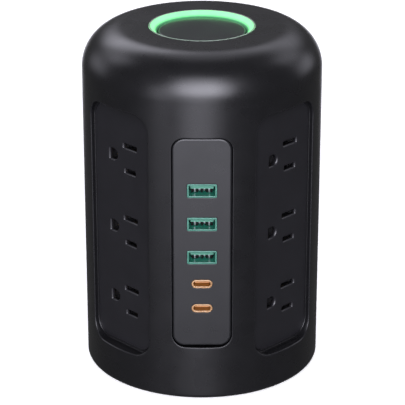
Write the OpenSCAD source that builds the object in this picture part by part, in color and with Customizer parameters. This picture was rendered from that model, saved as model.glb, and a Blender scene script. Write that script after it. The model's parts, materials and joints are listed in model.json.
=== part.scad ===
// Tower power strip: a round housing with four columns of mains outlets, a front
// panel of charging ports, a lit ring round the master button on top, and a
// service plate at the back with the cord gland and the overload breaker.
// Millimetres. +Z is up, the front faces -Y, and the origin is on the floor at the
// middle of the base.

/* [Housing] */
// Diameter of the housing
body_d = 118; // [114:0.5:126]
// Height of the housing, without the feet
body_h = 174; // [172:0.5:190]
// Radius of the rounded shoulder
shoulder_r = 20; // [16:0.5:20]
// Thickness of the housing wall
wall = 2.6; // [2.2:0.1:2.8]
// Radius of the bottom edge
base_edge_r = 2; // [1:0.1:2]
// How far the rubber feet stand out below the base
foot_h = 1; // [0.8:0.1:1.2]

/* [Outlet columns] */
// How far the front columns are turned from the front, and the back ones from the back
column_turn = 46; // [45:0.5:46]
// Outlets in each column
outlets = 3; // [1:1:3]
// Distance between outlets in a column
outlet_pitch = 37.4; // [36:0.1:38.2]
// Distance of the outlet panels' face from the tower's axis
outlet_face = 53.4; // [53.2:0.1:53.8]
// Width of an outlet recess
recess_w = 40.2; // [40:0.1:41]
// Height of an outlet recess
recess_h = 126.3; // [126:0.1:128]
// Corner radius of an outlet recess
recess_r = 9; // [6:0.1:11]

/* [Charging panel] */
// Width of the charging panel
usb_w = 28.4; // [27:0.1:29]
// Height of the charging panel
usb_h = 107.8; // [106:0.1:110]
// Corner radius of the charging panel
usb_r = 6; // [4:0.1:8]

/* [Master button] */
// Diameter of the master button
button_d = 43; // [40:0.1:43.4]
// Depth of the button's face below the top
button_depth = 2.5; // [2:0.1:3]
// Travel of the button
button_travel = 2.5; // [1.5:0.1:3]
// Outer diameter of the light ring
ring_d = 52; // [51:0.1:53]

/* [Cord gland] */
// Diameter of the hole for the mains cord
cord_hole_d = 9.5; // [8:0.1:10]

/* [Hidden] */
node = "all";
$fn = 96;
small_fn = 48;
eps = 0.05;
gap = 0.2;                       // clearance between fitted parts
usb_gap = 0.4;                   // groove round the charging panel

// Housing
body_r = body_d / 2;
base_z = foot_h;
top_z = base_z + body_h;
inner_r = body_r - wall;
ceiling_z = top_z - wall;
column_z = base_z + 82.2;        // height of the middle of every panel

// Sides, as degrees round from the front; positive is to the right
side_names = ["front_right", "back_right", "back_left", "front_left"];
side_turns = [column_turn, 180 - column_turn, 180 + column_turn, 360 - column_turn];
sides = [0 : len(side_names) - 1];
front = 0;
back = 180;

// Outlet panels: the recess, a narrow ledge round it, then the panel
ledge_w = 1.2;
ledge_drop = 0.5;
window_w = recess_w - 2 * ledge_w;
window_h = recess_h - 2 * ledge_w;
window_r = recess_r - ledge_w;
ledge_t = 1.6;
frame_wall = 1.8;
outlet_plate_t = 2.2;
flange_t = 2;
flange_w = 2.2;                  // how far a flange reaches behind its frame
ear_w = 10;
ear_l = 6.5;

// Blades of a grounded 15 A outlet, turned so that the earth hole is to the left
blade_gap = 12.7;
earth_gap = 11.9;
blade_u = 5.6;
earth_u = blade_u - earth_gap;
neutral_l = 9.2;
hot_l = 7.4;
slot_h = 2.3;
earth_hole_r = 2.8;
earth_flat = 2.6;
outlet_zs = [for (i = [0 : outlets - 1]) column_z + (i - (outlets - 1) / 2) * outlet_pitch - 0.5];

// Contact carriers and the strips in them
carrier_w = 32;
carrier_h = 118;
carrier_room = 0.8;              // clearance round a carrier in the back of its panel
carrier_front = outlet_face - outlet_plate_t - gap;
carrier_back = 37.4;
strip_back = 38.4;
strip_t = 0.8;
leaf_t = 0.5;
leaf_w = 7.6;
leaf_l = 9;
blade_t = 1.5;
earth_pin_d = 4.8;
spine_w = 4;
neutral_spine = 12.5;
hot_spine = -0.5;
earth_spine = -12.2;
earth_leaf_shift = -0.4;
carrier_screw_u = 6;
carrier_screw_v = 53.5;
carrier_web = 41.3;              // where a screw's head rests in the carrier
carrier_web_t = 2;

// Bus rings above the carriers, one for each pole
ring_inner_r = 37;
ring_outer_r = 42;
neutral_ring_z = column_z + 62;
hot_ring_z = neutral_ring_z + 3;
earth_ring_z = neutral_ring_z + 6;

// Charging panel and ports
usb_face = 57.3;
usb_plate_t = 2;
usb_a_zs = [110.6, 93.5, 76.3];
usb_c_zs = [62.3, 49.4];
usb_a_out = [14.2, 6.8];
usb_a_in = [12.5, 5.12];
usb_a_tongue = [11.1, 1.84];
usb_a_tongue_y = 0.9;
usb_a_tongue_in = 3.4;           // how far a tongue stops short of its port's face
usb_c_out = [10, 4.3];
usb_c_in = [8.34, 2.56];
usb_c_tongue = [6.69, 0.7];
usb_c_tongue_in = 2.4;
port_l = 13.8;
port_back_t = 1.2;
port_face = usb_face + 0.1;
board_t = 1.6;
usb_board_face = port_face - port_l;
usb_board_w = 27;
usb_board_h = 92;
usb_post_v = 42;                 // height of the board's posts from the panel's middle

// Service plate at the back
service_w = 30;
service_h = 50;
service_r = 5;
service_face = 54.6;
service_plate_t = 2.4;
service_z = base_z + 35;
gland_z = base_z + 21.5;
breaker_z = base_z + 46;

// Top assembly
ring_r = ring_d / 2;
ring_lip = 0.55;
button_r = button_d / 2;
ring_inner = button_r + 0.4;
button_face = top_z - button_depth;
ring_foot_z = ceiling_z - 1.9;
led_board_z = ceiling_z - 5;
led_board_in = 24.6;
led_board_out = 32;
guide_flange_r = 38.6;
guide_z = led_board_z - 2;
guide_t = 2;
guide_floor_z = top_z - 17;
guide_bore_r = button_r + 0.4;
boss_ring_r = 35.2;
stem_r = 4.2;
stem_hole_r = stem_r + 0.4;
stem_end_z = guide_floor_z + 4;
plunger_r = 2.9;
plunger_l = 12;
switch_size = [20, 16, 18];
spring_r = 7.5;
spring_wire = 0.9;
spring_turns = 5;

// Base and boards
base_r = inner_r - gap;
base_t = 2.5;
base_top = base_z + base_t;
base_post_xy = [47.1, 19.5];
post_r = 3.5;
post_top = base_z + 16;
foot_r = 7;
foot_sink = 1.2;
foot_xy = 30;
surge_board_w = 48;
surge_board_z = base_z + 19;
standoff_xy = 20;
standoff_r = 3;

// Screws
screw_r = 1.4;
pilot_r = screw_r + 0.02;         // moulded hole that a screw's thread runs in
screw_head_r = 2.7;
screw_head_h = 1.5;
short_screw_l = 4.8;
long_screw_l = 9;
screw_drive_r = 1.1;

plug_black = [0.05, 0.05, 0.055];
panel_grey = [0.09, 0.09, 0.1];
usb_grey = [0.16, 0.16, 0.17];
brass = [0.8, 0.65, 0.3];
board_green = [0.05, 0.3, 0.16];

NODES = concat(
    ["main_housing", "base_plate", "rubber_feet", "base_screws"],
    [for (i = sides) str("outlet_panel_", side_names[i])],
    [for (i = sides) str("contact_carrier_", side_names[i])],
    [for (i = sides) str("neutral_strip_", side_names[i])],
    [for (i = sides) str("hot_strip_", side_names[i])],
    [for (i = sides) str("ground_strip_", side_names[i])],
    ["neutral_bus_ring", "hot_bus_ring", "ground_bus_ring", "short_screws"],
    ["charging_panel", "charging_board", "charging_transformer", "charging_capacitors"],
    [for (i = [1 : len(usb_a_zs)]) str("usb_a_shell_", i)],
    [for (i = [1 : len(usb_a_zs)]) str("usb_a_tongue_", i)],
    ["usb_a_contacts"],
    [for (i = [1 : len(usb_c_zs)]) str("usb_c_shell_", i)],
    [for (i = [1 : len(usb_c_zs)]) str("usb_c_tongue_", i)],
    ["service_plate", "cord_gland", "breaker_body", "breaker_nut", "breaker_button"],
    ["surge_board", "surge_varistors", "surge_fuse", "internal_wires"],
    ["light_ring", "led_board", "ring_leds", "button_guide"],
    ["power_button", "button_spring", "switch_body", "switch_plunger"]
);

// ---------- shared shapes ----------

// Puts children on a side of the tower: local X to the right as seen from outside,
// local Y up, local Z outwards from the axis.
module on_side(turn) rotate([0, 0, turn]) rotate([90, 0, 0]) children();

// Flat outline with round corners, centred
module rounded_rect(w, h, r) {
    square([w - 2 * r, h], center = true);
    square([w, h - 2 * r], center = true);
    for (x = [-1, 1], y = [-1, 1])
        translate([x * (w / 2 - r), y * (h / 2 - r)]) circle(r, $fn = small_fn);
}

// A slab of that outline, from one distance to another
module slab(w, h, r, from, to)
    translate([0, 0, from]) linear_extrude(to - from) rounded_rect(w, h, r);

// A box centred in X and Y, from one distance to another
module bar(w, h, from, to)
    translate([-w / 2, -h / 2, from]) cube([w, h, to - from]);

// Half profile of a round body with a rounded shoulder and bottom edge
module body_profile(r, z0, z1, r_top, r_bottom) {
    translate([0, z0]) square([r - r_bottom, z1 - r_top - z0]);
    translate([0, z0 + r_bottom]) square([r, z1 - r_top - z0 - r_bottom]);
    translate([0, z0]) square([r - r_top, z1 - z0]);
    translate([r - r_top, z1 - r_top]) circle(r_top, $fn = 128);
    translate([r - r_bottom, z0 + r_bottom]) circle(r_bottom, $fn = small_fn);
}

// A cross-head screw along Z: head from 0 down, shank up to l
module screw(l) {
    difference() {
        translate([0, 0, -screw_head_h]) cylinder(r = screw_head_r, h = screw_head_h, $fn = small_fn);
        for (turn = [0, 90]) rotate([0, 0, turn])
            translate([-screw_drive_r, -0.3, -screw_head_h - eps]) cube([2 * screw_drive_r, 0.6, 0.8]);
    }
    cylinder(r = screw_r, h = l, $fn = small_fn);
}

// Cross product direction helpers for swept tubes
function unit(v) = v / norm(v);
function tangent(p, i) = unit(p[min(i + 1, len(p) - 1)] - p[max(i - 1, 0)]);
function tube_point(p, i, r, a, ref) =
    let (t = tangent(p, i), n = unit(cross(ref, t)), b = cross(t, n))
    p[i] + r * (cos(a) * n + sin(a) * b);

// A round tube swept along points p; ref is never parallel to the path
module tube(p, r, n, ref) {
    rings = len(p);
    points = [for (i = [0 : rings - 1], k = [0 : n - 1]) tube_point(p, i, r, 360 * k / n, ref)];
    walls = [for (i = [0 : rings - 2], k = [0 : n - 1])
        [i * n + k, i * n + (k + 1) % n, (i + 1) * n + (k + 1) % n, (i + 1) * n + k]];
    start = [[for (k = [0 : n - 1]) n - 1 - k]];
    end = [[for (k = [0 : n - 1]) (rings - 1) * n + k]];
    polyhedron(points, concat(start, walls, end), convexity = 6);
}

// ---------- housing ----------

// The moulded frame behind a window, before the window is cut
module frame_block(w, h, r, back)
    slab(w + 2 * frame_wall, h + 2 * frame_wall, r + frame_wall, back, body_r);

// Boss for the screw of a panel's ear
module ear_boss(h, back)
    for (y = [-1, 1]) translate([0, y * (h / 2 + ear_l - 1), back])
        cylinder(r = 3, h = body_r - back, $fn = small_fn);

module ear_pilot(h, back)
    for (y = [-1, 1]) translate([0, y * (h / 2 + ear_l - 1), back - eps])
        cylinder(r = pilot_r, h = 3.2, $fn = small_fn);

outlet_frame_back = outlet_face - ledge_drop - ledge_t;
usb_frame_back = usb_face - 2.9;
service_frame_back = service_face - 2.9;

module housing_solid()
    rotate_extrude($fn = 180) intersection() {
        body_profile(body_r, base_z, top_z, shoulder_r, base_edge_r);
        square([body_r + 1, top_z + 1]);
    }

module housing_hollow()
    rotate_extrude($fn = 180) intersection() {
        union() {
            translate([0, base_z - 1]) square([inner_r, top_z - shoulder_r - base_z + 1]);
            translate([0, base_z - 1]) square([body_r - shoulder_r, ceiling_z - base_z + 1]);
            translate([body_r - shoulder_r, top_z - shoulder_r]) circle(shoulder_r - wall, $fn = 128);
        }
        translate([0, base_z - 1]) square([body_r + 1, top_z]);
    }

module housing_frames() {
    for (i = sides) on_side(side_turns[i]) translate([0, column_z, 0]) {
        frame_block(recess_w, recess_h, recess_r, outlet_frame_back);
        ear_boss(recess_h, outlet_frame_back);
    }
    on_side(front) translate([0, column_z, 0]) {
        frame_block(usb_w, usb_h, usb_r, usb_frame_back);
        ear_boss(usb_h, usb_frame_back);
    }
    on_side(back) translate([0, service_z, 0])
        frame_block(service_w, service_h, service_r, service_frame_back);
}

module housing_windows() {
    for (i = sides) on_side(side_turns[i]) translate([0, column_z, 0]) {
        slab(recess_w, recess_h, recess_r, outlet_face - ledge_drop, body_r + 1);
        slab(window_w, window_h, window_r, outlet_frame_back - 1, body_r);
        ear_pilot(recess_h, outlet_frame_back);
    }
    on_side(front) translate([0, column_z, 0]) {
        slab(usb_w + 2 * usb_gap, usb_h + 2 * usb_gap, usb_r + usb_gap, usb_frame_back - 1, body_r + 1);
        ear_pilot(usb_h, usb_frame_back);
    }
    on_side(back) translate([0, service_z, 0])
        slab(service_w + 2 * gap, service_h + 2 * gap, service_r + gap, service_frame_back - 1, body_r + 1);
}

module guide_boss_places()
    for (turn = [45 : 90 : 315]) rotate([0, 0, turn]) translate([boss_ring_r, 0, 0]) children();

module base_post_places()
    for (x = [-1, 1], y = [-1, 1]) translate([x * base_post_xy[0], y * base_post_xy[1], 0]) children();

module main_housing() color(plug_black) difference() {
    union() {
        difference() {
            housing_solid();
            housing_hollow();
        }
        intersection() {
            housing_solid();
            union() {
                housing_frames();
                base_post_places() {
                    translate([0, 0, base_top]) cylinder(r = post_r, h = post_top - base_top, $fn = small_fn);
                }
                for (s = [-1, 1], y = [-1, 1])
                    translate([s * (base_post_xy[0] + 5) - 5, y * base_post_xy[1] - 1, base_top])
                        cube([10, 2, post_top - base_top]);
            }
        }
        guide_boss_places() translate([0, 0, led_board_z]) cylinder(r = 3, h = ceiling_z - led_board_z + 1, $fn = small_fn);
    }
    housing_windows();
    translate([0, 0, ceiling_z - 1]) cylinder(r = ring_r + 0.1, h = wall + 2);
    guide_boss_places() translate([0, 0, led_board_z - eps]) cylinder(r = pilot_r, h = 4.5, $fn = small_fn);
    base_post_places() translate([0, 0, base_top - eps]) cylinder(r = pilot_r, h = 10, $fn = small_fn);
}

// ---------- base ----------

module foot_places()
    for (x = [-1, 1], y = [-1, 1]) translate([x * foot_xy, y * foot_xy, 0]) children();

module standoff_places()
    for (x = [-1, 1], y = [-1, 1]) translate([x * standoff_xy, y * standoff_xy, 0]) children();

module base_plate() color(plug_black) difference() {
    union() {
        translate([0, 0, base_z]) cylinder(r = base_r, h = base_t, $fn = 180);
        standoff_places() translate([0, 0, base_top - eps])
            cylinder(r = standoff_r, h = surge_board_z - base_top + eps, $fn = small_fn);
    }
    foot_places() translate([0, 0, base_z - eps]) cylinder(r = foot_r + 0.1, h = foot_sink + eps);
    base_post_places() {
        translate([0, 0, base_z - eps]) cylinder(r = screw_r + 0.2, h = base_t + 1, $fn = small_fn);
        translate([0, 0, base_z - eps]) cylinder(r = screw_head_r + 0.3, h = 1.5 + eps, $fn = small_fn);
    }
    standoff_places() translate([0, 0, surge_board_z - 8]) cylinder(r = pilot_r, h = 9, $fn = small_fn);
}

module rubber_feet() color([0.03, 0.03, 0.03])
    foot_places() rotate_extrude() {
        square([foot_r - 0.6, base_z + foot_sink]);
        translate([0, 0.6]) square([foot_r, base_z + foot_sink - 0.6]);
        intersection() {
            translate([foot_r - 0.6, 0.6]) circle(0.6, $fn = small_fn);
            square([foot_r, 1]);
        }
    }

module base_screws() color("silver")
    base_post_places() translate([0, 0, base_z + 1.5]) screw(long_screw_l);

// ---------- outlets ----------

// Outline of one outlet's holes
module outlet_holes() {
    translate([blade_u, blade_gap / 2]) square([neutral_l, slot_h], center = true);
    translate([blade_u, -blade_gap / 2]) square([hot_l, slot_h], center = true);
    translate([earth_u, 0]) {
        circle(earth_hole_r, $fn = small_fn);
        translate([-earth_flat, -earth_hole_r]) square([earth_flat, 2 * earth_hole_r]);
    }
}

// The flange behind a panel: a ring with an ear at each end for its screws
module panel_flange(w, h, r, back, ears) difference() {
    union() {
        slab(w + 2 * flange_w - 2 * ledge_w, h + 2 * flange_w - 2 * ledge_w, r, back - flange_t, back);
        if (ears) for (y = [-1, 1]) translate([0, y * (h / 2 + ear_l / 2 - 1), 0])
            bar(ear_w, ear_l + 6, back - flange_t, back);
    }
    slab(w - 7, h - 7, max(r - 3, 1), back - flange_t - 1, back + 1);
    if (ears) for (y = [-1, 1]) translate([0, y * (h / 2 + ear_l - 1), back - flange_t - 1])
        cylinder(r = screw_r + 0.15, h = flange_t + 2, $fn = small_fn);
}

module carrier_screw_place(y)
    translate([carrier_screw_u, y * carrier_screw_v, carrier_web]) children();

module outlet_panel() color(panel_grey) difference() {
    union() {
        difference() {
            union() {
                slab(window_w - 2 * gap, window_h - 2 * gap, window_r - gap,
                    outlet_frame_back - gap - eps, outlet_face);
                panel_flange(recess_w, recess_h, recess_r, outlet_frame_back - gap, true);
            }
            bar(carrier_w + 2 * carrier_room, carrier_h + 2 * carrier_room,
                outlet_face - outlet_plate_t - 8, outlet_face - outlet_plate_t);
        }
        for (y = [-1, 1]) carrier_screw_place(y) translate([0, 0, carrier_web_t])
            cylinder(r = 2.6, h = outlet_face - 1 - carrier_web - carrier_web_t, $fn = small_fn);
    }
    for (y = [-1, 1]) carrier_screw_place(y) cylinder(r = pilot_r, h = short_screw_l + 1, $fn = small_fn);
    for (z = outlet_zs) translate([0, z - column_z, outlet_face - 5]) linear_extrude(8) outlet_holes();
}

module contact_cavity(u, l, h) translate([u, 0, 0]) bar(l + 1.2, h, carrier_back - 1, carrier_front + 1);

module contact_carrier() color([0.85, 0.83, 0.78]) difference() {
    bar(carrier_w, carrier_h, carrier_back, carrier_front);
    for (z = outlet_zs) translate([0, z - column_z, 0]) {
        translate([0, blade_gap / 2, 0]) contact_cavity(blade_u, neutral_l, 5);
        translate([0, -blade_gap / 2, 0]) contact_cavity(blade_u, neutral_l, 5);
        contact_cavity(earth_u + earth_leaf_shift, leaf_w, 8);
        for (s = [[neutral_spine, blade_gap / 2], [hot_spine, -blade_gap / 2]])
            translate([(s[0] + blade_u) / 2, s[1], 0])
                bar(abs(s[0] - blade_u) + 6, 5, carrier_back - 1, strip_back + strip_t + gap);
        translate([(earth_spine + earth_u) / 2, 0, 0])
            bar(earth_u - earth_spine + 6, 8, carrier_back - 1, strip_back + strip_t + gap);
    }
    for (u = [neutral_spine, hot_spine, earth_spine]) translate([u, 0, 0])
        bar(spine_w + 0.8, carrier_h + 2, carrier_back - 1, strip_back + strip_t + gap);
    for (y = [-1, 1]) carrier_screw_place(y) {
        translate([0, 0, carrier_web_t - gap]) cylinder(r = 2.8, h = 20, $fn = small_fn);
        cylinder(r = screw_r + 0.2, h = 5, $fn = small_fn);
        translate([0, 0, -10]) cylinder(r = screw_head_r + 0.3, h = 10, $fn = small_fn);
    }
}

// A contact strip: a spine with a pair of leaves at each outlet, and a riser to its ring
module contact_strip(spine, u, z_offset, leaf_gap, riser_top) {
    low = outlet_zs[0] + z_offset - 5;
    translate([spine, (low + riser_top) / 2, 0])
        bar(spine_w, riser_top - low, strip_back, strip_back + strip_t);
    for (z = outlet_zs) translate([0, z + z_offset, 0]) {
        from = min(spine - spine_w / 2, u - leaf_w / 2);
        to = max(spine + spine_w / 2, u + leaf_w / 2);
        translate([(from + to) / 2, 0, 0])
            bar(to - from, leaf_gap + 2 * leaf_t, strip_back, strip_back + strip_t);
        for (s = [-1, 1]) translate([u, s * (leaf_gap + leaf_t) / 2, 0])
            bar(leaf_w, leaf_t, strip_back, strip_back + leaf_l);
    }
}

module neutral_strip() color(brass)
    contact_strip(neutral_spine, blade_u, blade_gap / 2, blade_t, neutral_ring_z);

module hot_strip() color(brass)
    contact_strip(hot_spine, blade_u, -blade_gap / 2, blade_t, hot_ring_z);

module ground_strip() color(brass)
    contact_strip(earth_spine, earth_u + earth_leaf_shift, 0, earth_pin_d, earth_ring_z);

// A flat ring that joins four strips; the risers of other poles pass through notches
module bus_ring(z, passing) color(brass) difference() {
    translate([0, 0, z]) cylinder(r = ring_outer_r, h = strip_t);
    translate([0, 0, z - 1]) cylinder(r = ring_inner_r, h = strip_t + 2);
    for (i = sides, spine = passing) on_side(side_turns[i])
        translate([spine, z, 0]) bar(spine_w + 2.4, 6, strip_back - 1, ring_outer_r + 3);
}

// Where the short screws go: through the panels' ears, the carriers, the charging
// board, the button guide and the surge board
module short_screw_places() {
    for (i = sides) on_side(side_turns[i]) for (y = [-1, 1]) {
        translate([0, column_z + y * (recess_h / 2 + ear_l - 1), outlet_frame_back - gap - flange_t]) children();
        translate([0, column_z, 0]) carrier_screw_place(y) children();
    }
    on_side(front) for (y = [-1, 1]) {
        translate([0, column_z + y * (usb_h / 2 + ear_l - 1), usb_frame_back - gap - flange_t]) children();
        translate([0, column_z + y * usb_post_v, usb_board_face - board_t]) children();
    }
    guide_boss_places() translate([0, 0, guide_z]) children();
    standoff_places() translate([0, 0, surge_board_z + board_t]) mirror([0, 0, 1]) children();
}

module short_screws() color("silver") short_screw_places() screw(short_screw_l);

// ---------- charging panel ----------

module stadium(size) {
    r = size[1] / 2;
    square([size[0] - 2 * r, size[1]], center = true);
    for (x = [-1, 1]) translate([x * (size[0] / 2 - r), 0]) circle(r, $fn = small_fn);
}

// Tops of the two posts that the charging board is screwed to
module usb_post_places()
    for (y = [-1, 1]) translate([0, y * usb_post_v, usb_board_face]) children();

module charging_panel() color(usb_grey) on_side(front) difference() {
    translate([0, column_z, 0]) union() {
        usb_post_places() cylinder(r = 2.6, h = usb_face - 1 - usb_board_face, $fn = small_fn);
        slab(usb_w, usb_h, usb_r, usb_frame_back - gap - eps, usb_face);
        panel_flange(usb_w, usb_h, usb_r, usb_frame_back - gap, true);
    }
    translate([0, column_z, 0]) difference() {
        bar(usb_w - 7, usb_h - 7, 0, usb_face - usb_plate_t);
        usb_post_places() cylinder(r = 2.6, h = 30, $fn = small_fn);
    }
    translate([0, column_z, 0]) usb_post_places()
        translate([0, 0, -1]) cylinder(r = pilot_r, h = short_screw_l + 1, $fn = small_fn);
    for (z = usb_a_zs) translate([0, z, 0])
        bar(usb_a_out[0] + 0.1, usb_a_out[1] + 0.1, 0, usb_face + 1);
    for (z = usb_c_zs) translate([0, z, 0]) linear_extrude(usb_face + 1)
        stadium([usb_c_out[0] + 0.1, usb_c_out[1] + 0.1]);
}

module usb_a_shell(z) color([0.25, 0.6, 0.5]) on_side(front) translate([0, z, 0]) difference() {
    bar(usb_a_out[0], usb_a_out[1], usb_board_face, port_face);
    bar(usb_a_in[0], usb_a_in[1], usb_board_face + port_back_t, port_face + 1);
}

module usb_a_tongue(z) color([0.4, 0.8, 0.65]) on_side(front) translate([0, z + usb_a_tongue_y, 0])
    bar(usb_a_tongue[0], usb_a_tongue[1], usb_board_face + port_back_t, port_face - usb_a_tongue_in);

module usb_a_contacts() color("silver") on_side(front)
    for (z = usb_a_zs, i = [-1.5 : 1 : 1.5])
        translate([i * 2.3, z + usb_a_tongue_y - usb_a_tongue[1] / 2 - 0.15, 0])
            bar(1, 0.3, usb_board_face + port_back_t + 1, port_face - usb_a_tongue_in - 0.8);

module usb_c_shell(z) color([0.8, 0.5, 0.25]) on_side(front) translate([0, z, 0]) difference() {
    translate([0, 0, usb_board_face]) linear_extrude(port_l) stadium(usb_c_out);
    translate([0, 0, usb_board_face + port_back_t]) linear_extrude(port_l) stadium(usb_c_in);
}

module usb_c_tongue(z) color([0.9, 0.6, 0.35]) on_side(front) translate([0, z, 0])
    bar(usb_c_tongue[0], usb_c_tongue[1], usb_board_face + port_back_t, port_face - usb_c_tongue_in);

module charging_board() color(board_green) on_side(front) translate([0, column_z, 0]) difference() {
    bar(usb_board_w, usb_board_h, usb_board_face - board_t, usb_board_face);
    usb_post_places() translate([0, 0, -board_t - 1]) cylinder(r = screw_r + 0.2, h = board_t + 2, $fn = small_fn);
}

module charging_transformer() color([0.85, 0.75, 0.2]) on_side(front) translate([0, column_z + 12, 0]) {
    bar(20, 16, usb_board_face - board_t - 14, usb_board_face - board_t);
    bar(14, 20, usb_board_face - board_t - 12, usb_board_face - board_t - 2);
}

module charging_capacitors() color([0.1, 0.12, 0.3]) on_side(front)
    for (place = [[-6, -18], [6, -18], [0, -32]])
        translate([place[0], column_z + place[1], usb_board_face - board_t - 16])
            cylinder(r = 4.6, h = 16, $fn = small_fn);

// ---------- service plate, gland and breaker ----------

module service_plate() color(panel_grey) on_side(back) difference() {
    translate([0, service_z, 0]) union() {
        slab(service_w, service_h, service_r, service_face - service_plate_t, service_face);
        slab(service_w - 1, service_h - 1, service_r, service_frame_back - gap - eps, service_face - 1);
        panel_flange(service_w, service_h, service_r, service_frame_back - gap, false);
    }
    translate([0, service_z, 0]) bar(service_w - 7, service_h - 7, 0, service_face - service_plate_t);
    translate([0, gland_z, 0]) cylinder(r = 7.2, h = body_r, $fn = small_fn);
    translate([0, breaker_z, 0]) cylinder(r = 5.7, h = body_r, $fn = small_fn);
}

// The bush that the mains cord leaves by
module cord_gland() color([0.03, 0.03, 0.03]) on_side(back) translate([0, gland_z, 0]) difference() {
    union() {
        translate([0, 0, service_face]) cylinder(r = 9, h = 2, $fn = small_fn);
        translate([0, 0, service_face + 2]) cylinder(r = 7.6, h = 1.6, $fn = small_fn);
        translate([0, 0, service_face - 9.4]) cylinder(r = 7, h = 9.4 + eps, $fn = small_fn);
    }
    translate([0, 0, service_face - 12]) cylinder(r = cord_hole_d / 2, h = 20, $fn = small_fn);
}

breaker_size = [14, 26, 22];
breaker_back = service_frame_back - 3;

module breaker_body() color([0.08, 0.08, 0.08]) on_side(back) translate([0, breaker_z, 0]) difference() {
    union() {
        bar(breaker_size[0], breaker_size[1], breaker_back - breaker_size[2], breaker_back);
        cylinder(r = 5.5, h = service_face + 2.6, $fn = small_fn);
    }
    bar(60, 60, 0, breaker_back - breaker_size[2]);
    translate([0, 0, breaker_back - 8]) cylinder(r = 3.7, h = 30, $fn = small_fn);
}

module breaker_nut() color("silver") on_side(back) translate([0, breaker_z, service_face]) difference() {
    cylinder(r = 8, h = 2.2, $fn = 6);
    translate([0, 0, -1]) cylinder(r = 5.55, h = 5, $fn = small_fn);
}

module breaker_button() color([0.75, 0.1, 0.08]) on_side(back) translate([0, breaker_z, 0]) {
    translate([0, 0, breaker_back - 4]) cylinder(r = 3.4, h = service_face + 3.4 - breaker_back + 4, $fn = small_fn);
}

// ---------- surge board ----------

module surge_board() color(board_green) difference() {
    translate([-surge_board_w / 2, -surge_board_w / 2, surge_board_z])
        cube([surge_board_w, surge_board_w, board_t]);
    standoff_places() translate([0, 0, surge_board_z - 1]) cylinder(r = screw_r + 0.2, h = 4, $fn = small_fn);
}

varistor_r = 9;

module surge_varistors() color([0.1, 0.2, 0.6])
    for (y = [2, 9, 16]) translate([0, y, surge_board_z + board_t]) {
        translate([0, 2.2, varistor_r + 2]) rotate([90, 0, 0]) cylinder(r = varistor_r, h = 4.4);
        for (x = [-5, 5]) translate([x, 0, 0]) cylinder(r = 0.5, h = 6, $fn = small_fn);
    }

module surge_fuse() color([0.85, 0.85, 0.8])
    translate([-9, -16, surge_board_z + board_t]) cube([18, 7, 12]);

// Wires from the surge board up to the bus rings at the right, and from the switch
// down to the board at the left
wire_r = 1.2;
wire_steps = 24;
wire_low = surge_board_z + board_t + wire_r;

function ease(t) = t * t * (3 - 2 * t);
function rising(x0, x1, y, z0, z1) =
    [for (k = [0 : wire_steps]) let (t = k / wire_steps) [x0 + (x1 - x0) * ease(t), y, z0 + (z1 - z0) * t]];

module internal_wires() color([0.1, 0.1, 0.1]) {
    poles = [neutral_ring_z, hot_ring_z, earth_ring_z];
    for (k = [0 : len(poles) - 1])
        tube(rising(21, ring_inner_r - wire_r - 0.6, 4 - 4 * k, wire_low, poles[k] + strip_t), wire_r, 10, [0, 1, 0]);
    for (y = [-3, 3])
        tube(rising(-21, -switch_size[0] / 2 - wire_r - 0.1, y, wire_low, guide_floor_z - 12), wire_r, 10, [0, 1, 0]);
}

// ---------- top: light ring, guide, button, switch ----------

module light_ring() color([0.3, 0.95, 0.45]) rotate_extrude($fn = 180)
    polygon([
        [ring_inner, ring_foot_z],
        [ring_r + 2, ring_foot_z],
        [ring_r + 2, ceiling_z - 0.1],
        [ring_r, ceiling_z - 0.1],
        [ring_r, top_z],
        [ring_r - ring_lip, top_z],
        [ring_inner, button_face - 0.6]
    ]);

module led_board() color(board_green) translate([0, 0, led_board_z]) difference() {
    cylinder(r = led_board_out, h = board_t);
    translate([0, 0, -1]) cylinder(r = led_board_in, h = board_t + 2);
}

module ring_leds() color("white")
    for (turn = [15 : 30 : 345]) rotate([0, 0, turn])
        translate([ring_r, -1.4, led_board_z + board_t]) cube([3.5 - 1, 2.8, 1.2]);

module button_guide() color(plug_black) difference() {
    union() {
        translate([0, 0, guide_z]) cylinder(r = guide_flange_r, h = guide_t);
        translate([0, 0, guide_floor_z - 2]) cylinder(r = guide_bore_r + 1.8, h = led_board_z - guide_floor_z + 2 + board_t);
    }
    translate([0, 0, guide_floor_z]) cylinder(r = guide_bore_r, h = 40);
    translate([0, 0, guide_floor_z - 5]) cylinder(r = stem_hole_r, h = 10);
    guide_boss_places() translate([0, 0, guide_z - 1]) cylinder(r = screw_r + 0.15, h = 5, $fn = small_fn);
}

button_skirt_l = 8;
button_plate_t = 2;

module power_button() color(panel_grey) union() {
    rotate_extrude($fn = 180) difference() {
        union() {
            translate([0, button_face - button_skirt_l]) square([button_r, button_skirt_l - 1]);
            translate([0, button_face - 2]) square([button_r - 1, 2]);
            intersection() {
                translate([button_r - 1, button_face - 1]) circle(1, $fn = small_fn);
                translate([0, button_face - 2]) square([button_r, 2]);
            }
        }
        translate([0, button_face - button_skirt_l - 1])
            square([button_r - 1.6, button_skirt_l + 1 - button_plate_t]);
    }
    translate([0, 0, stem_end_z]) cylinder(r = stem_r, h = button_face - stem_end_z - 1);
}

spring_low = guide_floor_z + spring_wire / 2 + eps;
spring_high = button_face - button_plate_t - spring_wire / 2 - eps;
spring_steps = 16;

module button_spring() color("silver")
    tube([for (i = [0 : spring_turns * spring_steps])
        let (a = 360 * i / spring_steps, z = spring_low + (spring_high - spring_low) * i / (spring_turns * spring_steps))
        [spring_r * cos(a), spring_r * sin(a), z]], spring_wire / 2, 8, [0, 0, 1]);

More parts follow.
